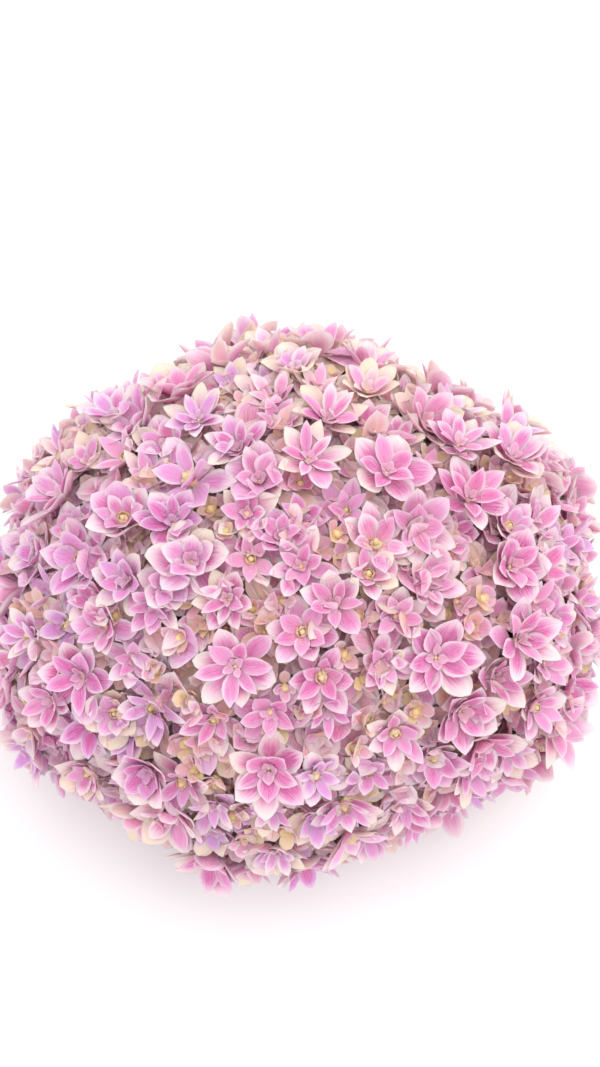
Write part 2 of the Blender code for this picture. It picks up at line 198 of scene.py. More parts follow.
def length(name, description, default):
    """A length in metres, as a property."""
    return FloatProperty(name=name, description=description, default=default, unit="LENGTH", precision=5)


def angle(name, description, degrees):
    """An angle that is given in degrees, as a property."""
    return FloatProperty(name=name, description=description, default=math.radians(degrees), unit="ROTATION")


def share(name, description, default):
    """A share of something, as a property."""
    return FloatProperty(name=name, description=description, default=default, subtype="FACTOR")


def colour(name, description, hex_colour):
    """A colour that is given as sRGB in hex, as a property."""
    return FloatVectorProperty(
        name=name, description=description, default=linear(hex_colour), subtype="COLOR", size=3, min=0, max=1
    )


class HydrangeaHead(bpy.types.PropertyGroup):
    half_width: length("Half width", "Centre to the throats at the widest", HEAD_HIGH.x - 7.4 * MM)
    half_depth: length("Half depth", "Centre to the throats across the width", HEAD_HIGH.y - 15.8 * MM)
    crown_rise: length("Crown rise", "Equator to the throats at the crown", HEAD_HIGH.z - 55.0 * MM)
    under_drop: length("Under drop", "How far the dome would reach under its equator", 58 * MM)
    equator_height: length("Equator height", "Surface to the widest level", 48 * MM)
    lowest_angle: angle("Lowest angle", "Crown to the lowest row of florets", 131)
    fork_height: length("Fork height", "Surface to the fork of the stalk", 40 * MM)


class HydrangeaFlorets(bpy.types.PropertyGroup):
    closeness: share("Closeness", "Gap of two open throats by the sum of their florets' reaches", 0.50)
    young_closeness: share("Young closeness", "The same for the young florets in the gaps", 0.57)
    lower_closeness: share("Lower closeness", "The same for the lower florets", 0.30)
    sepal_length: length("Sepal length", "Outer sepal of a full-sized floret", 14.0 * MM)
    sepal_width: length("Sepal width", "Outer sepal of a full-sized floret", 9.4 * MM)
    sepal_thickness: length("Sepal thickness", "At the middle of the blade", 0.24 * MM)
    pedicel_radius: length("Pedicel radius", "Under its floret", 0.55 * MM)
    seed: IntProperty(name="Seed", description="Picks how the florets differ", default=7, min=1)


class HydrangeaColours(bpy.types.PropertyGroup):
    heart: colour("Heart", "The deep pink along a sepal's midrib", "C85C9A")
    blush: colour("Blush", "The pink of the open blade", "EBA4C8")
    lilac: colour("Lilac", "The blade of the florets that turn lilac", "CDA0DE")
    margin: colour("Margin", "The thin pale margin of most sepals", "F3DADF")
    cream: colour("Cream", "The margin and tip where these are wide", "F1D8BE")
    peach: colour("Peach", "The foot of the young sepals", "F2BE94")
    under: colour("Under side", "The back of a sepal", "ECB9CC")
    bud: colour("Bud", "The closed centre", "EDD68E")
    # Painted shade at the foot of a bud, and the real green of greener buds and of the stalk's ribs
    bud_green_and_shade: colour("Bud's foot", "The shaded foot of a bud", "A89A48")
    pedicel: colour("Pedicel", "The thin stalks under the florets", "B97C90")
    stalk: colour("Stalk", "The green cut stalk", "8FA45A")
    floor: colour("Floor", "The plain surface", "F8F7F6")


class HydrangeaCamera(bpy.types.PropertyGroup):
    elevation: angle("Elevation", "From the head's centre up to the camera", 70)
    distance: length("Distance", "From the head's centre to the camera", 0.45)
    focal_pixels: FloatProperty(name="Focal length", description="In pixels of the photograph", default=1205)
    centre_height: length("Centre height", "Height of the head's centre", 52 * MM)


class HydrangeaSettings(bpy.types.PropertyGroup):
    head: PointerProperty(type=HydrangeaHead)
    florets: PointerProperty(type=HydrangeaFlorets)
    colours: PointerProperty(type=HydrangeaColours)
    camera: PointerProperty(type=HydrangeaCamera)


def settings():
    """The sizes and colours that the user may change."""
    return bpy.context.scene.hydrangea


def unit(vectors):
    """Each vector divided by its length."""
    return vectors / np.linalg.norm(vectors, axis=-1, keepdims=True)


def rising(value, start, span):
    """From 0 at the start to 1 a span further on, in a straight line."""
    return np.clip((value - start) / span, 0, 1)


def bulge(azimuth):
    """The outline's radius at an azimuth, as a factor: one plus a few low cosine waves."""
    return 1 + sum(part * np.cos(number * (azimuth - first)) for part, number, first in BULGES)


def dome_radii(directions):
    """Half width, half depth and rise of the dome for each direction: the bulge widens the first two."""
    head = settings().head
    wide = bulge(np.arctan2(directions[..., 1], directions[..., 0]))
    rise = np.where(directions[..., 2] > 0, head.crown_rise, head.under_drop)
    return np.stack([head.half_width * wide, head.half_depth * wide, rise], axis=-1)


def dome_points(directions, lift=0.0):
    """Each unit direction times the dome's radii, plus the lift, set on the equator's centre."""
    return directions * (dome_radii(directions) + lift) + (0, 0, settings().head.equator_height)


def dome_directions(points):
    """The unit direction that dome_points would carry to each point, if it lay on the dome."""
    arms = points - (0, 0, settings().head.equator_height)
    return unit(arms / dome_radii(arms))


def dome_normals(directions):
    """The outward normal of the ellipsoid: each direction divided once more by the radii."""
    return unit(directions / dome_radii(directions))


def spiral(number, start=0.0):
    """Unit directions on a golden-angle spiral, at polar angles that give each the same area of the dome."""
    head = settings().head
    steps = np.linspace(0, head.lowest_angle, 600)
    around = 0.5 * (head.half_width + head.half_depth) * np.sin(steps)
    height = np.where(steps < math.pi / 2, head.crown_rise, head.under_drop) * np.cos(steps)
    area = np.concatenate([[0], np.cumsum(np.hypot(np.diff(around), np.diff(height)) * around[1:])])
    polar = np.interp((np.arange(number) + 0.5) / number * area[-1], area, steps)
    azimuth = GOLDEN_ANGLE * np.arange(number) + start
    x, y = np.sin(polar) * np.cos(azimuth), np.sin(polar) * np.sin(azimuth)
    return np.stack([x, y, np.cos(polar)], axis=-1)


def sown(draw, start, sizes, full_reach, held, held_reach, closeness):
    """Sows florets over the dome, on places of a spiral in random order.

    Each in turn is kept if its throat is far enough from all that are held or kept before it. Far enough is
    the closeness times the sum of both reaches. Returns the directions and sizes of those that are kept."""
    ways = spiral(TRIES, start)[draw.permutation(TRIES)]
    size = draw.uniform(*sizes, TRIES)
    points = np.concatenate([dome_points(held), dome_points(ways)])
    reach = np.concatenate([held_reach, full_reach * size])
    kept = np.arange(len(points)) < len(held)
    for each in range(len(held), len(points)):
        gaps = np.linalg.norm(points[kept] - points[each], axis=-1)
        kept[each] = (gaps > (reach[kept] + reach[each]) * closeness).all()
    kept = kept[len(held):]
    return ways[kept], size[kept]


def camera_frame():
    """The camera's place and its forward, right and up axes, with the head's centre at its pixel."""
    own = settings().camera
    back = np.array([0, -math.cos(own.elevation), math.sin(own.elevation)])
    raised = np.array([0, math.sin(own.elevation), math.cos(own.elevation)])
    centre = np.array([0, 0, own.centre_height])
    place = centre + back * own.distance
    drop = (CENTRE_PIXEL[1] - PHOTO_HEIGHT / 2) / own.focal_pixels * own.distance
    side = (CENTRE_PIXEL[0] - PHOTO_WIDTH / 2) / own.focal_pixels * own.distance
    forward = unit(centre + raised * drop - np.array([1, 0, 0]) * side - place)
    right = unit(np.cross(forward, (0, 0, 1)))
    return place, forward, right, np.cross(right, forward)


def seen_through(pixels, lift):
    """Where the camera's ray through each pixel first meets the dome, found by steps of 0.25 mm along it."""
    own = settings().camera
    place, forward, right, up = camera_frame()
    across = (pixels[:, 0] - PHOTO_WIDTH / 2) / own.focal_pixels
    down = (pixels[:, 1] - PHOTO_HEIGHT / 2) / own.focal_pixels
    rays = unit(forward + across[:, None] * right - down[:, None] * up)
    steps = own.distance + np.arange(-0.16, 0.16, 0.25 * MM)
    points = place + rays[:, None] * steps[None, :, None]
    arms = points - (0, 0, settings().head.equator_height)
    level = np.linalg.norm(arms / (dome_radii(arms) + lift), axis=-1)
    inside = level < 1
    first = np.where(inside.any(axis=1), inside.argmax(axis=1), level.argmin(axis=1))
    return points[np.arange(len(pixels)), first], rays, steps[first]


def toward(axes, ways):
    """Turns each set of axes about its own third axis until the first points as near the way as it can."""
    normals = axes[:, 2]
    first = unit(ways - (ways * normals).sum(-1, keepdims=True) * normals)
    return np.stack([first, np.cross(normals, first), normals], axis=1)


def frames(normals, turns):
    """For each normal, three axes as rows: two across it, turned about it by the angle, and itself."""
    start = np.where(np.abs(normals[:, 2:]) < 0.9, (0.0, 0.0, 1.0), (1.0, 0.0, 0.0))
    first = unit(np.cross(start, normals))
    second = np.cross(normals, first)
    cosine, sine = np.cos(turns)[:, None], np.sin(turns)[:, None]
    return np.stack([first * cosine + second * sine, second * cosine - first * sine, normals], axis=1)


class Florets:
    """The florets of one kind as arrays, one entry to a floret: throat, axes, size, openness and tones."""

    def __init__(self, directions, lift, lean, size, openness, draw):
        number = len(directions)
        self.number = number
        normals = dome_normals(directions)
        self.throats = dome_points(directions) + normals * lift[:, None]
        self.lift = lift
        facing = unit(normals + draw.normal(0, 1, (number, 3)) * math.tan(lean))
        self.axes = frames(facing, draw.uniform(0, math.tau, number))
        self.size = size
        self.openness = openness
        x, y, _ = self.throats.T
        self.spray = np.floor((np.arctan2(y, x) / math.tau % 1) * SPRAYS).astype(int)
        self.tone = draw.normal(0, 1, (number, 4))
        self.core = draw.choice([STAR, CONE, BUD], number)
        # Lilac grows towards the dome's foot and its left side. Painted light: margins are wide and pale
        # behind the crown, and a little so at the foot in front, so that those sides look brighter than
        # their shade
        outward = np.arccos(np.clip(directions[:, 2], -1, 1)) / settings().head.lowest_angle
        self.lilac = np.clip(0.85 * outward - 2.4 * x + 0.28 * self.tone[:, 0] - 0.05, 0, 1)
        self.depth = np.clip(0.45 + 0.28 * self.tone[:, 1], 0, 1)
        self.pale = rising(y, *PAINTED_LIGHT_BEHIND) + 0.4 * rising(-y, *PAINTED_LIGHT_BEFORE)
        self.green = np.clip(draw.uniform(-0.4, 0.6, number), 0, 1)

    def face(self, rows, rays):
        """Turns the first florets the way that the landmarks' rows tell, half way from the dome's normal."""
        _, _, right, up = camera_frame()
        held = len(rows)
        seen = unit(-rays + (rows[:, 2:3] * right - rows[:, 3:4] * up) / FULL_TURN_PIXELS)
        normals = unit(dome_normals(dome_directions(self.throats[:held])) + seen)
        turn = np.radians(rows[:, 5:6])
        axes = self.axes[:held].copy()
        axes[:, 2] = normals
        self.axes[:held] = toward(axes, np.cos(turn) * right + np.sin(turn) * up)


def free_reach(florets, crowd, which, outward):
    """How far a sepal may reach on its way before it enters a neighbour's share of the room.

    The share of the gap between two throats is the floret's weight by the sum of both weights, and a weight
    is the size, doubled for each 6 mm that the throat stands higher. Throats over 45 mm away don't count."""
    weight = florets.size * 2 ** (florets.lift / (6 * MM))
    crowd_weight = crowd.size * 2 ** (crowd.lift / (6 * MM))
    gaps = crowd.throats[None] - florets.throats[which][:, None]
    distance = np.linalg.norm(gaps, axis=-1)
    ahead = (gaps * outward[:, None]).sum(-1) / np.maximum(distance, NO_GAP)
    own = weight[which][:, None] / (weight[which][:, None] + crowd_weight[None])
    limit = own * distance / np.maximum(ahead, 1e-3)
    near = (distance > NO_GAP) & (distance < 45 * MM) & (ahead > 0.3)
    return np.where(near, limit, 1.0).min(axis=1)


def grid_places(u, v, back=0.0):
    """The place (u, v, back) of every u with every v, v running fastest."""
    return np.stack(np.broadcast_arrays(u[:, None], v[None], back), axis=-1).reshape(-1, 3)


def blade_template(rows, columns, under_columns):
    """The places and faces of one closed thin blade.

    A place is (u, v, back): u from claw to tip, v from side to side, and back 1 for the under side. The claw
    and the tip are single points, and the under side shares the rim with the upper."""
    steps = (1 - (1 - np.arange(rows + 1) / rows) ** 1.25)[1:-1]
    under_v = np.linspace(-1, 1, under_columns + 1)[1:-1]
    places = np.concatenate([
        ENDS, grid_places(steps, np.linspace(-1, 1, columns + 1)), grid_places(steps, under_v, 1.0),
    ])
    upper = 2 + np.arange((rows - 1) * (columns + 1)).reshape(rows - 1, columns + 1)
    inner = 2 + upper.size + np.arange((rows - 1) * (under_columns - 1)).reshape(rows - 1, under_columns - 1)
    under = np.concatenate([upper[:, :1], inner, upper[:, -1:]], axis=1)
    quads = []
    triangles = []
    for grid, turn in ((upper, 1), (under, -1)):
        quads.append(np.stack([grid[:-1, :-1], grid[1:, :-1], grid[1:, 1:], grid[:-1, 1:]], axis=-1)
                     .reshape(-1, 4)[:, ::turn])
        low, high = grid[0], grid[-1]
        triangles.append(np.stack([np.zeros_like(low[1:]), low[:-1], low[1:]], axis=-1)[:, ::turn])
        triangles.append(np.stack([np.ones_like(high[1:]), high[1:], high[:-1]], axis=-1)[:, ::turn])
    rim = (np.abs(places[:, 1]) == 1) | (np.arange(len(places)) < 2)
    return places, np.concatenate(quads), np.concatenate(triangles), rim


def blade_points(places, sepals):
    """The points of many sepals at the same places, in their florets' axes.

    The midline is an arc of a circle that starts at the claw and climbs by the angle climb, plus curl for
    each share of u. Across it the blade is an arc whose half angle is the cupping, with a groove at the
    midrib and a wave at the margin. Half the width is u to one power times (1 - u) to another, scaled to 1
    at its widest."""
    u, v, back = places.T[:, None]
    item = {name: value[:, None] for name, value in sepals.items() if name != "floret"}
    peak = item["shoulder"] / (item["shoulder"] + item["point"])
    widest = peak ** item["shoulder"] * (1 - peak) ** item["point"]
    outline = u ** item["shoulder"] * (1 - u) ** item["point"] / widest
    half = item["width"] / 2 * np.maximum(outline, 0.13 * (1 - u))
    curl = np.where(np.abs(item["curl"]) < 0.01, 0.01, item["curl"])
    start = item["climb"] - 0.35 * curl
    climb = start + curl * u
    out = item["foot"] + item["length"] * (np.sin(climb) - np.sin(start)) / curl
    up = item["rise"] + item["length"] * (np.cos(start) - np.cos(climb)) / curl
    bend = item["cupping"] * v
    lateral = half * np.sin(bend) / item["cupping"]
    lift = half * (1 - np.cos(bend)) / item["cupping"]
    lift = lift - 0.06 * half * np.exp(-(v / 0.25) ** 2)
    wave = np.sin(u * item["waves"] + item["phase"] + 1.3 * v)
    lift = lift + item["ripple"] * item["width"] * v**2 * wave * u
    lift = lift - back * item["thickness"] * (1 - v**2) * np.sin(np.pi * np.clip(u, 0, 1)) ** 0.5
    twist = item["twist"] * u
    cosine, sine = np.cos(twist), np.sin(twist)
    lateral, lift = lateral * cosine - lift * sine, lift * cosine + lateral * sine
    way = item["heading"] + item["sweep"] * u
    radial = out - lift * np.sin(climb)
    return np.stack([
        radial * np.cos(way) - lateral * np.sin(way),
        radial * np.sin(way) + lateral * np.cos(way),
        up + lift * np.cos(climb),
    ], axis=-1)


def part_of(points, quads, triangles, rim, places, tint):
    """Copies of a template at the points given, as one part for add_mesh: faces, rim and places repeat."""
    number, each = points.shape[:2]
    starts = (np.arange(number) * each)[:, None, None]
    return {
        "points": points.reshape(-1, 3),
        "quads": (quads[None] + starts).reshape(-1, 4),
        "triangles": (triangles[None] + starts).reshape(-1, 3),
        "rim": np.tile(rim, number),
        "blade": np.tile(places, (number, 1)),
        "tint": np.repeat(tint, each, axis=0),
    }


def joined(parts):
    """Several parts as one: their faces count on from the points before them."""
    starts = np.cumsum([0] + [len(part["points"]) for part in parts[:-1]])
    made = {}
    for key in parts[0]:
        made[key] = np.concatenate([part[key] for part in parts])
        if key in ("quads", "triangles"):
            made[key] += np.repeat(starts, [len(part[key]) for part in parts])[:, None]
    return made


def rest_on_floor(points, depth=3 * MM):
    """Bends what would reach under the surface: a height h under the depth d becomes d exp(h/d - 1)."""
    low = points[:, 2] < depth
    points[low, 2] = depth * np.exp(points[low, 2] / depth - 1)
    return points


def add_mesh(name, part, material):
    """Puts whole arrays of points, faces and attributes into a new mesh object at the origin."""
    mesh = bpy.data.meshes.new(name)
    sizes = np.concatenate([np.full(len(part["quads"]), 4), np.full(len(part["triangles"]), 3)])
    corners = np.concatenate([part["quads"].ravel(), part["triangles"].ravel()])
    mesh.vertices.add(len(part["points"]))
    mesh.vertices.foreach_set("co", rest_on_floor(part["points"]).astype(np.float32).ravel())
    mesh.loops.add(len(corners))
    mesh.loops.foreach_set("vertex_index", corners.astype(np.int32))
    mesh.polygons.add(len(sizes))
    mesh.polygons.foreach_set("loop_start", (np.cumsum(sizes) - sizes).astype(np.int32))
    mesh.update(calc_edges=True)
    mesh.shade_smooth()
    ends = np.empty(2 * len(mesh.edges), np.int32)
    mesh.edges.foreach_get("vertices", ends)
    sharp = part["rim"][ends.reshape(-1, 2)].all(axis=1)
    for attribute, kind, domain, field, values in (
        ("sharp_edge", "BOOLEAN", "EDGE", "value", sharp),
        ("blade", "FLOAT_VECTOR", "POINT", "vector", part["blade"].astype(np.float32)),
        ("tint", "FLOAT_COLOR", "POINT", "color", part["tint"].astype(np.float32)),
    ):
        mesh.attributes.new(attribute, kind, domain).data.foreach_set(field, values.ravel())
    mesh.materials.append(material)
    made = bpy.data.objects.new(name, mesh)
    bpy.context.scene.collection.objects.link(made)
    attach(made, "root")
    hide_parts("flower_head")


def add_node(tree, kind, inputs=(), options=None, output=0):
    """Adds a shader node, sets its options, and fills its inputs with values or with other nodes' outputs.

    The inputs come in the node's order, or by name or number. Returns one output, or all for None."""
    made = tree.nodes.new("ShaderNode" + kind)
    for key, value in (options or {}).items():
        setattr(made, key, value)
    for key, value in (inputs.items() if isinstance(inputs, dict) else enumerate(inputs)):
        if isinstance(value, bpy.types.NodeSocket):
            tree.links.new(value, made.inputs[key])
        else:
            made.inputs[key].default_value = value
    return made.outputs if output is None else made.outputs[output]


# Options of the nodes that the materials share. A colour mix has its factor at 0 and its colours at 6 and 7
PLUS = {"operation": "ADD"}
LESS = {"operation": "SUBTRACT"}
TIMES = {"operation": "MULTIPLY"}
TIMES_PLUS = {"operation": "MULTIPLY_ADD"}
SINE = {"operation": "SINE"}
ABSOLUTE = {"operation": "ABSOLUTE"}
LARGER = {"operation": "MAXIMUM"}
SMOOTH = {"interpolation_type": "SMOOTHSTEP"}
COLOUR = {"data_type": "RGBA"}
BLADE = {"attribute_name": "blade"}
TINT = {"attribute_name": "tint"}


def new_material(name):
    """A new node material, the call that adds a node to it, and the colours by name with an alpha of 1."""
    material = bpy.data.materials.new(name)
    material.use_nodes = True
    own = settings().colours
    tone = {each: (*getattr(own, each), 1) for each in HydrangeaColours.__annotations__}
    return material, functools.partial(add_node, material.node_tree), tone


def finished(material, colour, height, bump, roughness, ior, specular, depth, tint):
    """Links the colour and the height to a material's shader, and sets the shader's own sockets.

    Bump is its strength and its distance, and depth the weight and the scale of the light that passes in."""
    tree = material.node_tree
    shader = tree.nodes["Principled BSDF"]
    normal = add_node(tree, "Bump", {"Height": height, "Strength": bump[0], "Distance": bump[1]})
    tree.links.new(colour, shader.inputs["Base Color"])
    tree.links.new(normal, shader.inputs["Normal"])
    for name, value in {
        "Roughness": roughness, "IOR": ior, "Specular IOR Level": specular, "Subsurface Weight": depth[0],
        "Subsurface Scale": depth[1], "Subsurface Radius": tint,
    }.items():
        shader.inputs[name].default_value = value
    return material


def sepal_place(add):
    """What a sepal's material reads at a point, by name: its place on the blade and its sepal's tint."""
    along, across, back = add("SeparateXYZ", (add("Attribute", (), BLADE, "Vector"),), {}, None)
    tint = add("Attribute", (), TINT, None)
    rim, depth, lilac = add("SeparateColor", (tint["Color"],), {}, None)
    side = add("Math", (across,), ABSOLUTE)
    seed = add("Math", (add("Math", (rim, depth), PLUS), 37.0), TIMES)
    return SimpleNamespace(
        along=along, across=across, back=back, side=side, rim=rim, depth=depth, lilac=lilac,
        age=tint["Alpha"], seed=seed,
    )


def sepal_streaks(add, at):
    """Streaks that run with the veins: noise stretched along the blade, which differs between sepals.

    On a sepal of 9.4 by 14 mm they are 0.4 mm wide and 7 mm long, and the fine ones a quarter of that."""
    stretched = (add("Math", (at.across, 7.5), TIMES), add("Math", (at.along, 1.3), TIMES), at.seed)
    place = add("CombineXYZ", stretched)
    streaks = add("TexNoise", {"Vector": place, "Scale": 1.6, "Detail": 3.0}, {}, "Fac")
    return streaks, add("TexNoise", {"Vector": place, "Scale": 6.5, "Detail": 2.0}, {}, "Fac")


def sepal_margin(add, at, streaks):
    """How far the blade turns into its pale rim, from 0 to 1."""
    # How far a point is from the margin, as a share of the half width, with the tip counted longer and one
    # side of each sepal paler than the other
    lean = add("Math", (add("Math", (add("Math", (at.seed, 9.0), TIMES),), SINE), 0.22), TIMES)
    from_side = add("Math", (add("Math", (1.0, at.side), LESS), 1.4), TIMES)
    from_side = add("Math", (at.across, lean, from_side), TIMES_PLUS)
    from_tip = add("Math", (add("Math", (1.0, at.along), LESS), 1.7), TIMES)
    from_edge = add("Math", (from_side, from_tip, 0.3), {"operation": "SMOOTH_MIN"})
    feathered = add("Math", (add("Math", (streaks, 0.5), LESS), 0.45, from_edge), TIMES_PLUS)
    outer_end = add("Math", (at.rim, 0.15), TIMES)
    inner_end = add("Math", (at.rim, 1.9, 0.20), TIMES_PLUS)
    pale = add("MapRange", (feathered, outer_end, inner_end, 1.0, 0.0), SMOOTH)

    # The rim leaves the claw free and is faint where it is thin. The claw's foot and the outermost margin
    # are always pale, and the youngest sepals less so. A row is a value, where its ramp starts and ends, the
    # factors there, and how it counts
    for value, *ramp, how in (
        (at.along, 0.02, 0.30, 0.0, 1.0, TIMES), (at.rim, 0.04, 0.40, 0.45, 1.0, TIMES),
        (at.along, 0.0, 0.22, 0.35, 0.0, LARGER), (at.side, 0.84, 0.98, 0.0, 0.85, LARGER),
        (at.age, 0.5, 1.0, 1.0, 0.25, TIMES),
    ):
        pale = add("Math", (pale, add("MapRange", (value, *ramp), SMOOTH)), how)
    return pale


def sepal_pink(add, at, tone, streaks, fine, vein_wave):
    """The blade's pink or lilac, deeper along the midrib and the veins."""
    # It is deepest half way out on the midrib, and broken up by the streaks
    heart = add("MapRange", (at.along, 0.0, 0.35, 0.45, 1.0), SMOOTH)
    for ramp in (
        (at.along, 0.55, 1.0, 1.0, 0.3), (at.side, 0.1, 1.0, 1.0, 0.3), (streaks, 0.30, 0.62, 0.50, 1.30),
        (fine, 0.35, 0.65, 0.60, 1.35),
    ):
        heart = add("Math", (heart, add("MapRange", ramp, SMOOTH)), TIMES)
    heart = add("Math", (heart, at.depth), TIMES)
    blush = add("Mix", {0: at.lilac, 6: tone["blush"], 7: tone["lilac"]}, COLOUR, 2)
    pink = add("Mix", {0: heart, 6: blush, 7: tone["heart"]}, COLOUR, 2)
    vein = add("MapRange", (vein_wave, 0.0, 0.30, 1.0, 0.0), SMOOTH)
    vein = add("Math", (vein, add("MapRange", (at.along, 0.0, 0.9, 0.42, 0.10), SMOOTH)), TIMES)
    return add("Mix", {0: vein, 6: pink, 7: tone["heart"]}, COLOUR, 2)


def aged(add, at, tone, pink):
    """The pink blade as it is at its sepal's age: young ones are peach, first at the foot, then yellow."""
    young = add("Math", (at.age, add("MapRange", (at.along, 0.05, 0.75, 1.0, at.age), SMOOTH)), TIMES)
    yellow = add("MapRange", (at.age, 0.5, 1.0, 0.0, 0.75), SMOOTH)
    peach = add("Mix", {0: yellow, 6: tone["peach"], 7: tone["bud"]}, COLOUR, 2)
    return add("Mix", {0: young, 6: pink, 7: peach}, COLOUR, 2)


def sepal_material():
    """Living sepal: thin leaf tissue, soft and a little waxy, which light passes into.

    The blade is pink, deepest along the midrib. The margin and the tip are cream, and the pink feathers into
    it along the veins. Each sepal's tint gives its rim width, depth, lilac share and age."""
    material, add, tone = new_material("living_sepal")
    at = sepal_place(add)
    streaks, fine = sepal_streaks(add, at)
    pale = sepal_margin(add, at, streaks)
    # Seven fine veins run from claw to tip, 1.4 mm apart
    vein_wave = add("Math", (add("Math", (add("Math", (at.across, 10.5), TIMES),), SINE),), ABSOLUTE)
    toned = aged(add, at, tone, sepal_pink(add, at, tone, streaks, fine, vein_wave))
    wide = add("MapRange", (at.rim, 0.22, 0.75), SMOOTH)
    rim_tone = add("Mix", {0: wide, 6: tone["margin"], 7: tone["cream"]}, COLOUR, 2)
    edged = add("Mix", {0: pale, 6: toned, 7: rim_tone}, COLOUR, 2)
    final = add("Mix", {0: add("Math", (at.back, 0.35), TIMES), 6: edged, 7: tone["under"]}, COLOUR, 2)
    ridges = add("Math", (add("Math", (vein_wave, 0.6), TIMES), add("Math", (streaks, 0.8), TIMES)), PLUS)
    return finished(
        material, final, ridges, bump=(0.35, 0.25 * MM), roughness=0.65, ior=1.42, specular=0.25,
        depth=(0.5, 0.8 * MM), tint=(1.0, 0.5, 0.65),
    )


def bud_material():
    """Closed bud: smooth, plump tissue that light passes into, with a grain of 0.7 mm.

    It is yellow-cream above, with painted shade in dark olive at the foot where it sits in its floret, and
    some are greener or pinker all over."""
    material, add, tone = new_material("plump_bud")
    height = add("SeparateXYZ", (add("Attribute", (), BLADE, "Vector"),))
    pinkness, greenness, _ = add("SeparateColor", (add("Attribute", (), TINT, "Color"),), {}, None)
    place = add("TexCoord", (), {}, "Object")
    grain = add("TexNoise", {"Vector": place, "Scale": 1 / (0.714 * MM)}, {}, "Fac")
    # Painted shade: the foot darkens towards dark olive
    foot = add("MapRange", (height, 0.1, 0.7, 0.75, 0.0), SMOOTH)
    mottled = add("MapRange", (grain, 0.35, 0.75, 0.0, 0.25), SMOOTH)
    base = tone["bud"]
    layers = ((foot, "bud_green_and_shade"), (greenness, "bud_green_and_shade"), (pinkness, "peach"), (mottled, "cream"))
    for factor, name in layers:
        base = add("Mix", {0: factor, 6: base, 7: tone[name]}, COLOUR, 2)
    return finished(
        material, base, grain, bump=(0.15, 0.2 * MM), roughness=0.5, ior=1.42, specular=0.4,
        depth=(0.3, 1.0 * MM), tint=(1.0, 0.6, 0.35),
    )


def pedicel_material():
    """Pedicel: a thin green stalk, satin, flushed with pink towards its floret, in blotches of 4 mm."""
    material, add, tone = new_material("flushed_pedicel")
    along = add("SeparateXYZ", (add("Attribute", (), BLADE, "Vector"),))
    place = add("TexCoord", (), {}, "Object")
    blotch = add("TexNoise", {"Vector": place, "Scale": 1 / (3.85 * MM)}, {}, "Fac")
    flush = add("MapRange", (along, -0.2, 0.5), SMOOTH)
    green = add("Mix", {0: flush, 6: tone["stalk"], 7: tone["pedicel"]}, COLOUR, 2)
    blotched = add("MapRange", (blotch, 0.35, 0.7, 0.0, 0.5), SMOOTH)
    final = add("Mix", {0: blotched, 6: green, 7: tone["under"]}, COLOUR, 2)
    return finished(
        material, final, blotch, bump=(0.2, 0.2 * MM), roughness=0.6, ior=1.42, specular=0.3,
        depth=(0.15, 0.8 * MM), tint=(1.0, 0.5, 0.5),
    )


def stalk_material():
    """Cut stalk: green herbaceous stem, satin, with ribs 1.1 mm apart along its length and flushed patches.

    Pale corky dots of 0.4 mm lie 2.4 mm apart on it."""
    material, add, tone = new_material("herbaceous_stalk")
    place = add("TexCoord", (), {}, "Object")
    stretched = add("Mapping", {"Vector": place, "Scale": (1, 1, 0.12)})
    ribs = add("TexNoise", {"Vector": stretched, "Scale": 1 / (1.11 * MM), "Detail": 3.0}, {}, "Fac")
    patches = add("TexNoise", {"Vector": place, "Scale": 1 / (14.3 * MM)}, {}, "Fac")
    dots = add("TexVoronoi", {"Vector": place, "Scale": 1 / (2.38 * MM)}, {}, "Distance")
    final = tone["stalk"]
    for ramp, name in (
        ((ribs, 0.35, 0.7, 0.0, 0.45), "bud_green_and_shade"), ((patches, 0.45, 0.75, 0.0, 0.5), "pedicel"),
        ((dots, 0.05, 0.16, 0.6, 0.0), "cream"),
    ):
        final = add("Mix", {0: add("MapRange", ramp, SMOOTH), 6: final, 7: tone[name]}, COLOUR, 2)
    return finished(
        material, final, ribs, bump=(0.4, 0.3 * MM), roughness=0.5, ior=1.45, specular=0.4,
        depth=(0.08, 1.0 * MM), tint=(0.6, 1.0, 0.3),
    )


def ring_of_sepals(florets, draw, counts, phase, *ranges):
    """One ring of sepals for every floret: a dict of arrays, one entry to a sepal.

    The ranges are those of its length and width as shares of a full-sized outer sepal, of its climb, curl
    and cupping in degrees, and of its foot and rise in mm. A ring of fewer sepals has wider ones."""
    own = settings().florets
    degree = math.radians(1)
    names = ("length", "width", "climb", "curl", "cupping", "foot", "rise")
    scales = (own.sepal_length, own.sepal_width, degree, degree, degree, MM, MM)
    values = {name: (low * scale, high * scale) for name, scale, (low, high) in zip(names, scales, ranges)}
    values.update(BLADE_RANGES, thickness=(own.sepal_thickness, own.sepal_thickness))
    floret = np.repeat(np.arange(florets.number), counts)
    place = np.concatenate([np.arange(each) for each in counts])
    number = len(floret)
    step = math.tau / counts[floret]
    made = {"floret": floret, "heading": (place + phase) * step + draw.normal(0, 0.10, number)}
    for name, (low, high) in values.items():
        made[name] = draw.uniform(low, high, number)
    for name in ("length", "width", "foot", "rise"):
        made[name] = made[name] * florets.size[floret]
    slim = np.exp(0.14 * np.clip(florets.tone[floret, 1], -1.8, 1.8))
    made["width"] = made["width"] * (5 / counts[floret]) ** 0.5 * slim
    made["climb"] = made["climb"] + (1 - florets.openness[floret]) * SHUT_CLIMB
    made["phase"] = draw.uniform(0, math.tau, number)
    return made


def make_room(florets, sepals, crowd, overlap, steepest):
    """Sepals that would run far into a neighbour stand up until what they cover fits the room there."""
    floret = sepals["floret"]
    heading = np.stack([np.cos(sepals["heading"]), np.sin(sepals["heading"])], axis=-1)
    outward = np.einsum("nk,nkc->nc", heading, florets.axes[floret][:, :2])
    free = free_reach(florets, crowd, floret, outward) * overlap
    steep = np.arccos(np.clip(free / (sepals["length"] + sepals["foot"]), math.cos(steepest), 1))
    sepals["climb"] = np.maximum(sepals["climb"], steep)
    return sepals


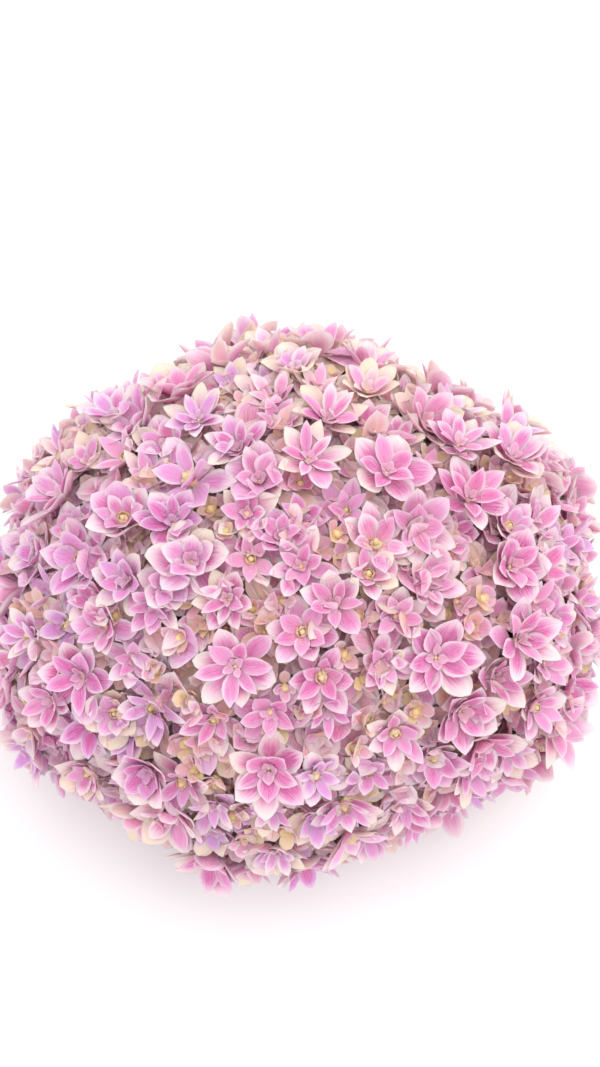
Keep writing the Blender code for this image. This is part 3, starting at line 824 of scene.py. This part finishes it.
def clear_of(sepals, ring, gap, side):
    """Turns each sepal until it climbs by the angle gap more than those of the ring that it lies over.

    With side -1 it climbs by the gap less than those that lie over it."""
    apart = np.abs((sepals["heading"][:, None] - ring["heading"][None] + math.pi) % math.tau - math.pi)
    meets = (sepals["floret"][:, None] == ring["floret"][None]) & (apart < math.radians(55))
    slope = side * ring["climb"] + 0.3 * np.abs(ring["curl"])
    steepest = np.where(meets, slope[None], -math.pi).max(axis=1)
    sepals["climb"] = side * np.maximum(side * sepals["climb"], steepest + gap)
    return sepals


def near_pairs(points, reach):
    """Index pairs of points nearer than the reach, each pair both ways, worked out in blocks of 800 rows."""
    squares = (points**2).sum(-1)
    found = []
    for start in range(0, len(points), 800):
        rows = points[start:start + 800]
        gaps = squares[start:start + 800, None] + squares[None] - 2 * rows @ points.T
        row, column = np.nonzero(gaps < reach**2)
        found.append(np.stack([row + start, column]))
    return np.concatenate(found, axis=1)


def stacked(groups, gap, rounds):
    """Lets the sepals of all rings lie on each other instead of through each other.

    Three points on each midline stand for a sepal, each with the half width there. Where points of two
    florets' sepals overlap, seen along their normal, the one whose ring stands higher has to keep the gap
    above the other. Each round turns both about their feet by half of what is missing."""
    names = [name for name in groups[0][1] if name != "floret"]
    shared = {name: np.concatenate([sepals[name] for _, sepals, _ in groups]) for name in names}
    axes = np.concatenate([florets.axes[sepals["floret"]] for florets, sepals, _ in groups])
    throats = np.concatenate([florets.throats[sepals["floret"]] for florets, sepals, _ in groups])
    rank = np.concatenate([florets.lift[sepals["floret"]] + higher for florets, sepals, higher in groups])
    shares = np.array([0.4, 0.65, 0.92])
    places = np.stack([shares, 0 * shares, 0 * shares], axis=-1)
    half = shared["width"][:, None] / 2 * np.array([0.85, 1.0, 0.4])
    arm = shared["foot"][:, None] + shared["length"][:, None] * shares

    def placed():
        """The points where the sepals are now."""
        return np.einsum("npk,nkc->npc", blade_points(places, shared), axes) + throats[:, None]

    above, below = near_pairs(placed()[:, 1], STACKED_WITHIN)
    chosen = (rank[above] > rank[below]) & (throats[above] != throats[below]).any(axis=-1)
    above, below = above[chosen], below[chosen]
    normals = unit(axes[above, 2] + axes[below, 2])
    room = 0.85 * (half[above][:, :, None] + half[below][:, None])
    for _ in range(rounds):
        points = placed()
        gaps = points[above][:, :, None] - points[below][:, None]
        height = np.einsum("nijc,nc->nij", gaps, normals)
        aside = np.sqrt(np.clip((gaps**2).sum(-1) - height**2, 0, None))
        missing = np.clip((gap - height) * np.clip(1.6 * (1 - aside / room), 0, 1), 0, 4 * MM)
        raised, lowered = np.zeros(len(rank)), np.zeros(len(rank))
        np.maximum.at(raised, above, (missing.max(axis=2) / arm[above]).max(axis=1))
        np.maximum.at(lowered, below, (missing.max(axis=1) / arm[below]).max(axis=1))
        turn = 0.5 * np.clip(raised - lowered, -0.4, 0.4)
        shared["climb"] = np.clip(shared["climb"] + turn, *STACKED_CLIMB)
    starts = np.cumsum([0] + [len(sepals["floret"]) for _, sepals, _ in groups])
    for (_, sepals, _), start, end in zip(groups, starts[:-1], starts[1:]):
        sepals["climb"] = shared["climb"][start:end]


def open_florets(draw, marks, rays, mark_ways, mark_reach, ways, sizes):
    """The open florets, the landmarks first.

    A landmark's span also tells how flat it lies, so its size follows the span less than in proportion.
    Larger florets stand higher, and those low on the front of the head hang like bells."""
    marked = len(marks)
    size = np.concatenate([(mark_reach / (1.03 * settings().florets.sepal_length)) ** 0.6, sizes])
    openness = draw.uniform(0.2, 1.0, len(size))
    low = rising(np.arccos(ways[:, 2]), math.radians(72), math.radians(30))
    openness[marked:] -= low * np.clip(-ways[:, 1], 0, 1)
    openness[:marked] = marks[:, 6]
    lift = (size - 1.04) * 14 * MM + draw.uniform(*OPEN_LIFT, len(size)) * MM
    lift[:marked] += LANDMARK_LIFT
    opened = Florets(np.concatenate([mark_ways, ways]), lift, OPEN_LEAN, size, openness, draw)
    opened.face(marks, rays)
    opened.lilac[:marked] = marks[:, 7]
    opened.depth[:marked] = marks[:, 8]
    opened.core[:marked] = marks[:, 9]
    return opened


def young_florets(draw, marks, mark_ways, mark_reach, ways, sizes):
    """The young florets, the landmarks first."""
    marked = len(marks)
    size = np.concatenate([mark_reach / (YOUNG_SHARE * settings().florets.sepal_length), sizes])
    lift = draw.uniform(*YOUNG_LIFT, len(size)) * MM
    lift[:marked] = YOUNG_LANDMARK_LIFT
    openness = draw.uniform(0.2, 0.9, len(size))
    young = Florets(np.concatenate([mark_ways, ways]), lift, LEAN, size, openness, draw)
    young.green[:marked] = marks[:, 3]
    return young


def arrange():
    """All florets of the head: the open ones, the young ones in the gaps of these, and the lower ones.

    The landmarks come first. The rest is sown over the dome, each where there is still room."""
    own = settings().florets
    young_length = YOUNG_SHARE * own.sepal_length
    draw = np.random.default_rng(own.seed)
    marks, young_marks = np.array(OPEN_LANDMARKS, float), np.array(YOUNG_LANDMARKS, float)
    at, rays, far = seen_through(marks[:, :2], 3 * MM)
    young_at, _, young_far = seen_through(young_marks[:, :2], 0.0)
    mark_ways, young_mark_ways = dome_directions(at), dome_directions(young_at)
    per_pixel = 0.5 / settings().camera.focal_pixels
    mark_reach = marks[:, 4] * far * per_pixel
    young_mark_reach = young_marks[:, 2] * young_far * per_pixel
    held = np.concatenate([mark_ways, young_mark_ways])
    reach = np.concatenate([mark_reach, young_mark_reach])

    ways, size = sown(draw, 0.0, (0.90, 1.18), own.sepal_length, held, reach, own.closeness)
    held = np.concatenate([held, ways])
    reach = np.concatenate([reach, own.sepal_length * size])
    young_ways, young_size = sown(draw, 1.3, (0.80, 1.15), young_length, held, reach, own.young_closeness)
    held = np.concatenate([held, young_ways])
    reach = np.concatenate([reach, young_length * young_size])
    opened = open_florets(draw, marks, rays, mark_ways, mark_reach, ways, size)
    young = young_florets(draw, young_marks, young_mark_ways, young_mark_reach, young_ways, young_size)

    ways, size = sown(draw, 2.1, (0.85, 1.05), own.sepal_length, held, reach / 3, own.lower_closeness)
    lift = draw.uniform(*LOWER_LIFT, len(ways)) * MM
    openness = draw.uniform(0.5, 1.0, len(ways))
    return opened, young, Florets(ways, lift, LEAN, size, openness, draw), draw


def sepal_tint(florets, sepals, draw, rim, depth, age, older=0.0):
    """Each sepal's rim width, depth of pink, lilac share and age, partly its own and partly its floret's."""
    floret = sepals["floret"]
    number = len(floret)
    deep, pale = florets.depth[floret], florets.pale[floret]
    # A floret's pale share is painted light: it widens the pale rims and takes out pink behind the crown and
    # at the front foot
    wide = np.exp(0.20 * florets.tone[floret, 2] + 0.35 * (0.5 - deep)) * (1 + 1.3 * pale)
    return np.stack([
        draw.uniform(*rim, number) * wide,
        np.clip(draw.uniform(*depth, number) * (0.35 + 1.2 * deep - 0.4 * pale), 0, 1),
        florets.lilac[floret],
        np.clip(draw.uniform(*age, number) + 0.06 * florets.tone[floret, 3] + older, 0, 1),
    ], axis=-1)


def open_rings(opened, draw):
    """The outer, inner and core sepals of the open florets."""
    outer_counts = draw.choice([5, 6, 6], opened.number)
    inner_counts = draw.choice([5, 5, 6], opened.number)
    outer = ring_of_sepals(
        opened, draw, outer_counts, 0.0,
        (0.92, 1.12), (0.88, 1.14), (-6, 16), (-26, 22), (14, 42), (0.9, 1.3), (0.0, 0.5),
    )
    inner = ring_of_sepals(
        opened, draw, inner_counts, 0.5,
        (0.70, 0.96), (0.58, 0.82), (10, 30), (-30, 8), (14, 40), (0.7, 1.0), (0.7, 1.3),
    )
    core = ring_of_sepals(
        opened, draw, np.full(opened.number, 4), 0.2,
        (0.24, 0.38), (0.26, 0.38), (24, 44), (-20, 20), (30, 60), (0.4, 0.6), (1.2, 1.8),
    )
    outer = make_room(opened, outer, opened, 2.8, math.radians(36))
    inner = clear_of(inner, outer, math.radians(7), 1)
    inner["point"] = inner["point"] * 1.15
    # In a cone the core's sepals are wide, start further out and close over the bud like an egg's shell
    cone = opened.core[core["floret"]] == CONE
    core["climb"] = np.where(cone, math.radians(80) + 0.2 * core["curl"], core["climb"])
    core["curl"] = np.where(cone, math.radians(70) + 0.5 * core["curl"], core["curl"])
    for name, factor in (("length", -0.20), ("width", 0.9), ("foot", 1.6)):
        core[name] = core[name] * (1 + factor * cone)
    return outer, inner, core


def young_rings(young, opened, draw):
    """The two rings of the young florets, whose sepals are rounder and leave room for the open florets."""
    counts = draw.choice([4, 4, 5], young.number)
    first = ring_of_sepals(
        young, draw, counts, 0.0,
        (0.46, 0.62), (0.54, 0.74), (8, 36), (-20, 30), (20, 50), (0.7, 1.0), (0.0, 0.4),
    )
    second = ring_of_sepals(
        young, draw, counts, 0.5,
        (0.20, 0.30), (0.26, 0.36), (35, 60), (-10, 40), (30, 60), (0.5, 0.8), (0.6, 1.0),
    )
    return make_room(young, first, opened, 1.35, math.radians(60)), second


def lower_rings(lower, draw):
    """The two rings of the lower florets."""
    counts = draw.choice([4, 5, 5], lower.number)
    outer = ring_of_sepals(
        lower, draw, counts, 0.0,
        (0.92, 1.15), (0.95, 1.15), (-4, 20), (-20, 20), (14, 42), (0.9, 1.3), (0.0, 0.5),
    )
    inner = ring_of_sepals(
        lower, draw, counts, 0.5,
        (0.46, 0.62), (0.52, 0.70), (24, 46), (-20, 10), (24, 50), (0.7, 1.0), (0.7, 1.3),
    )
    return outer, clear_of(inner, outer, math.radians(9), 1)


@functools.cache
def grow():
    """Works out all florets once, for the operators that add their pieces.

    For each kind it gives the florets and their rings. A ring is its sepals, how many rows and columns a
    blade has above and below, and its tints."""
    opened, young, lower, draw = arrange()
    outer, inner, core = open_rings(opened, draw)
    first, second = young_rings(young, opened, draw)
    below, below_inner = lower_rings(lower, draw)
    stacked([
        (opened, outer, 0.0), (opened, inner, INNER_RISE), (young, first, 0.0), (lower, below, 0.0),
        (lower, below_inner, INNER_RISE),
    ], 1.0 * MM, 14)
    outer = clear_of(outer, inner, math.radians(2), -1)
    below = clear_of(below, below_inner, math.radians(2), -1)
    core = clear_of(core, inner, math.radians(2), 1)
    second = clear_of(second, first, math.radians(4), 1)
    for ring in (first, second):
        ring["shoulder"] = ring["shoulder"] * 0.8
        ring["point"] = ring["point"] * 0.7

    def tinted(florets, sepals, shape, *tint_ranges):
        """A ring with its tints, which are drawn from the ranges."""
        return sepals, shape, sepal_tint(florets, sepals, draw, *tint_ranges)

    cone_age = (opened.core[core["floret"]] == CONE) * 0.7
    return {
        "open": (opened, [
            tinted(opened, outer, (7, 6, 4), (0.13, 0.52), (0.30, 1.00), (0.0, 0.12)),
            tinted(opened, inner, (6, 4, 4), (0.05, 0.26), (0.35, 0.95), (0.0, 0.12)),
            tinted(opened, core, (5, 4, 2), (0.10, 0.30), (0.0, 0.3), (0.15, 0.40), cone_age),
        ]),
        "young": (young, [
            tinted(young, first, (6, 4, 4), (0.08, 0.35), (0.1, 0.5), (0.40, 0.95)),
            tinted(young, second, (5, 2, 2), (0.06, 0.2), (0.0, 0.3), (0.7, 1.0)),
        ]),
        # The lower florets' deep pink is partly their own colour and partly painted shade: the red-brown of
        # the gaps that they fill
        "lower": (lower, [
            tinted(lower, below, (5, 4, 2), (0.08, 0.34), (0.4, 1.0), (0.05, 0.80)),
            tinted(lower, below_inner, (4, 2, 2), (0.06, 0.26), (0.2, 0.8), (0.1, 0.9)),
        ]),
        "draw": draw,
    }


def add_sepals(name, kind, sprays):
    """Adds the sepals of all florets of a kind that stand in one of the sprays, as one piece."""
    florets, rings = grow()[kind]
    parts = []
    for sepals, shape, tint in rings:
        chosen = np.isin(florets.spray[sepals["floret"]], sprays)
        some = {key: value[chosen] for key, value in sepals.items()}
        places, *faces, rim = blade_template(*shape)
        axes, throats = florets.axes[some["floret"]], florets.throats[some["floret"]]
        points = np.einsum("npk,nkc->npc", blade_points(places, some), axes) + throats[:, None]
        parts.append(part_of(points, *faces, rim, places, tint[chosen]))
    material = bpy.data.materials.get("living_sepal") or sepal_material()
    add_mesh(name, joined(parts), material)


def dome_template(rows, sides):
    """Places and faces of a closed round body, from foot to top: u is the height's share, v the turn's."""
    places = np.concatenate([ENDS, grid_places(np.arange(1, rows) / rows, np.arange(sides) / sides)])
    grid = 2 + np.arange((rows - 1) * sides).reshape(rows - 1, sides)
    beyond = np.roll(grid, -1, axis=1)
    quads = np.stack([grid[:-1], beyond[:-1], beyond[1:], grid[1:]], axis=-1).reshape(-1, 4)
    low = np.stack([np.zeros(sides, int), beyond[0], grid[0]], axis=-1)
    high = np.stack([np.ones(sides, int), grid[-1], beyond[-1]], axis=-1)
    return places, quads, np.concatenate([low, high]), np.zeros(len(places), bool)


def bud_part(florets, radius, height, lobes, tint):
    """Buds: round bodies whose radius follows half a sine over their height, and a cosine of lobes round."""
    places, quads, triangles, rim = dome_template(5, 8)
    u, v, _ = places.T[:, None]
    swell = np.sin(np.pi * (0.10 + 0.90 * u) ** 0.8) ** 0.6
    swell = np.where((u == 0) | (u == 1), 0, swell)
    ripple = 1 + 0.13 * np.cos(lobes[:, None] * math.tau * v) * np.sin(np.pi * u)
    reach = radius[:, None] * swell * ripple
    points = np.stack([
        reach * np.cos(math.tau * v), reach * np.sin(math.tau * v), height[:, None] * (u - 0.12),
    ], axis=-1)
    points = np.einsum("npk,nkc->npc", points, florets.axes) + florets.throats[:, None]
    return part_of(points, quads, triangles, rim, places, tint)


def add_buds():
    """Adds the buds in the centres of all florets as one piece."""
    grown = grow()
    draw = grown["draw"]
    opened, young, lower = grown["open"][0], grown["young"][0], grown["lower"][0]
    core_radius, core_height = OPEN_BUDS[opened.core].T
    parts = []
    for florets, wide, radii, tall, heights, size, pinks in (
        (opened, core_radius, (0.9, 1.15), core_height, (0.9, 1.15), opened.size, (0.1, 0.5)),
        (young, 1, (1.4, 2.0), 1, (2.6, 3.8), 1, (0.0, 0.2)),
        (lower, 1, (0.9, 1.5), 1, (2.0, 3.2), 1, (0.0, 0.5)),
    ):
        number = florets.number
        radius = wide * draw.uniform(*radii, number) * MM * size
        height = tall * draw.uniform(*heights, number) * MM * size
        lobes = draw.choice([4, 5], number)
        tint = np.ones((number, 4)) * (1, 1, 0, 1)
        tint[:, 0] = draw.uniform(*pinks, number)
        tint[:, 1] = florets.green
        parts.append(bud_part(florets, radius, height, lobes, tint))
    add_mesh("buds", joined(parts), bud_material())


def tube_part(paths, widths, sides):
    """Closed tubes along paths given as arrays of points, with a ring of sides at every point.

    The widths are the radii along a path, as shares of a pedicel's. The ends are closed by a point each."""
    number, steps = paths.shape[:2]
    radii = settings().florets.pedicel_radius * np.array(widths)
    ahead = unit(np.gradient(paths, axis=1))
    start = np.where(np.abs(ahead[:, :, 2:]) < 0.9, (0.0, 0.0, 1.0), (1.0, 0.0, 0.0))
    first = unit(np.cross(start, ahead))
    second = np.cross(ahead, first)
    turn = np.arange(sides) / sides * math.tau
    rings = (first[:, :, None] * np.cos(turn)[:, None] + second[:, :, None] * np.sin(turn)[:, None])
    rings = paths[:, :, None] + rings * radii[:, None, None]
    places, quads, triangles, rim = dome_template(steps + 1, sides)
    points = np.concatenate([paths[:, :1], paths[:, -1:], rings.reshape(number, -1, 3)], axis=1)
    return part_of(points, quads, triangles, rim, places, np.ones((number, 4)))


def bowed(start, handle, end):
    """Seven points on the curve start (1 - s)^2 + 2 handle s (1 - s) + end s^2, s from 0 to 1, for each."""
    steps = np.linspace(0, 1, 7)[None, :, None]
    first = start[:, None] * (1 - steps) ** 2
    return first + 2 * handle[:, None] * steps * (1 - steps) + end[:, None] * steps**2


def add_pedicels():
    """Adds the pedicels: each leaves a node under its spray and curves up into its floret along its axis.

    Thicker branches join the nodes to the fork of the stalk."""
    grown = grow()
    fork_height = settings().head.fork_height
    nodes = dome_points(spiral(PEDICEL_NODES, 0.4)) * 0.60 + (0, 0, 0.40 * fork_height)
    kinds = [grown[kind][0] for kind in ("open", "young", "lower")]
    throat = np.concatenate([florets.throats for florets in kinds])
    axis = np.concatenate([florets.axes[:, 2] for florets in kinds])
    start = nodes[np.linalg.norm(throat[:, None] - nodes[None], axis=-1).argmin(axis=1)]
    reach = np.linalg.norm(throat - start, axis=-1)[:, None]
    paths = bowed(start, throat - axis * reach * 0.6, throat + axis * 0.6 * MM)
    pedicels = tube_part(paths, [1.3, 1.15, 1, 1, 1, 1.3, 2.0], 5)
    paths = bowed(np.array([[0, 0, fork_height]]), nodes * (0.45, 0.45, 0.9), nodes)
    branches = tube_part(paths, np.linspace(2.6, 1.8, 7), 6)
    add_mesh("pedicels", joined([pedicels, branches]), pedicel_material())


def aimed(name, data, place, way):
    """Adds a camera or a lamp at a place, turned to look the way given."""
    made = bpy.data.objects.new(name, data)
    made.location = place
    made.rotation_euler = Vector(way).to_track_quat("-Z", "Y").to_euler()
    bpy.context.scene.collection.objects.link(made)
    return made


def add_stage():
    """Adds the pale floor, the soft light and the camera."""
    scene = bpy.context.scene
    own = settings().camera
    place, forward, _, _ = camera_frame()
    data = bpy.data.cameras.new("camera")
    data.sensor_width = SENSOR_WIDTH
    data.lens = SENSOR_WIDTH * own.focal_pixels / PHOTO_HEIGHT
    data.clip_start = 0.01
    scene.camera = aimed("camera", data, place, forward)

    mesh = bpy.data.meshes.new("floor")
    corners = [(-1, -1), (1, -1), (1, 1), (-1, 1)]
    mesh.from_pydata([(x * FLOOR_REACH, y * FLOOR_REACH, 0) for x, y in corners], [], [(0, 1, 2, 3)])
    floor = bpy.data.objects.new("floor", mesh)
    scene.collection.objects.link(floor)
    material, _, tone = new_material("plain_floor")
    shader = material.node_tree.nodes["Principled BSDF"]
    shader.inputs["Base Color"].default_value = tone["floor"]
    shader.inputs["Roughness"].default_value = 0.9
    mesh.materials.append(material)

    world = bpy.data.worlds.new("soft_studio")
    world.use_nodes = True
    background = world.node_tree.nodes["Background"]
    background.inputs["Color"].default_value = (*linear(ROOM_COLOUR), 1)
    background.inputs["Strength"].default_value = ROOM_LIGHT
    scene.world = world
    light = bpy.data.lights.new("overhead", "AREA")
    light.size = LAMP_WIDTH
    light.energy = LAMP_WATTS
    aimed("overhead", light, LAMP_PLACE, Vector(LAMP_AIM) - Vector(LAMP_PLACE))
    scene.view_settings.view_transform = "Standard"
    scene.view_settings.gamma = GAMMA


class HydrangeaAddOpenFlorets(bpy.types.Operator):
    """Adds the sepals of the open florets, a piece for each spray"""

    bl_idname = "hydrangea.add_open_florets"
    bl_label = "Add open florets"

    def execute(self, context):
        for spray in range(SPRAYS):
            add_sepals(f"sepals_spray_{spray + 1}", "open", [spray])
        return {"FINISHED"}


class HydrangeaAddYoungFlorets(bpy.types.Operator):
    """Adds the sepals of the young florets as one piece"""

    bl_idname = "hydrangea.add_young_florets"
    bl_label = "Add young florets"

    def execute(self, context):
        add_sepals("young_sepals", "young", range(SPRAYS))
        return {"FINISHED"}


class HydrangeaAddLowerFlorets(bpy.types.Operator):
    """Adds the sepals of the lower florets, which show in the gaps: a piece behind and one in front"""

    bl_idname = "hydrangea.add_lower_florets"
    bl_label = "Add lower florets"

    def execute(self, context):
        add_sepals("lower_sepals_back", "lower", range(SPRAYS // 2))
        add_sepals("lower_sepals_front", "lower", range(SPRAYS // 2, SPRAYS))
        return {"FINISHED"}


class HydrangeaAddBuds(bpy.types.Operator):
    """Adds the buds in the centres of the florets"""

    bl_idname = "hydrangea.add_buds"
    bl_label = "Add buds"

    def execute(self, context):
        add_buds()
        return {"FINISHED"}


class HydrangeaAddPedicels(bpy.types.Operator):
    """Adds the pedicels that carry the florets"""

    bl_idname = "hydrangea.add_pedicels"
    bl_label = "Add pedicels"

    def execute(self, context):
        add_pedicels()
        return {"FINISHED"}


class HydrangeaDressStalk(bpy.types.Operator):
    """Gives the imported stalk, whose shape is right, its material"""

    bl_idname = "hydrangea.dress_stalk"
    bl_label = "Dress stalk"

    def execute(self, context):
        material = stalk_material()
        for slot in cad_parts["cut_stalk"].material_slots:
            slot.material = material
        return {"FINISHED"}


class HydrangeaAddStage(bpy.types.Operator):
    """Adds the floor, the light and the camera"""

    bl_idname = "hydrangea.add_stage"
    bl_label = "Add stage"

    def execute(self, context):
        add_stage()
        return {"FINISHED"}


OPERATORS = (
    HydrangeaAddStage, HydrangeaDressStalk, HydrangeaAddOpenFlorets, HydrangeaAddYoungFlorets,
    HydrangeaAddLowerFlorets, HydrangeaAddBuds, HydrangeaAddPedicels,
)


class HydrangeaPanel(bpy.types.Panel):
    """Lists the operators that grow the head, and the sizes and colours that they read"""

    bl_idname = "VIEW3D_PT_hydrangea"
    bl_label = "Hydrangea flower head"
    bl_space_type = "VIEW_3D"
    bl_region_type = "UI"
    bl_category = "Hydrangea"

    def draw(self, context):
        for each in OPERATORS:
            self.layout.operator(each.bl_idname)
        for group in ("head", "florets", "colours", "camera"):
            box = self.layout.box()
            own = getattr(context.scene.hydrangea, group)
            for name in own.__annotations__:
                box.prop(own, name)


CLASSES = (
    HydrangeaHead, HydrangeaFlorets, HydrangeaColours, HydrangeaCamera, HydrangeaSettings, *OPERATORS,
    HydrangeaPanel,
)


def register():
    """Registers the classes and the settings."""
    for each in CLASSES:
        bpy.utils.register_class(each)
    bpy.types.Scene.hydrangea = PointerProperty(type=HydrangeaSettings)


def unregister():
    """Removes the settings and the classes."""
    del bpy.types.Scene.hydrangea
    for each in reversed(CLASSES):
        bpy.utils.unregister_class(each)


def main():
    """Grows the whole head on its stage."""
    register()
    bpy.ops.hydrangea.add_stage()
    bpy.ops.hydrangea.dress_stalk()
    bpy.ops.hydrangea.add_open_florets()
    bpy.ops.hydrangea.add_young_florets()
    bpy.ops.hydrangea.add_lower_florets()
    bpy.ops.hydrangea.add_buds()
    bpy.ops.hydrangea.add_pedicels()


if __name__ == "__main__":
    main()
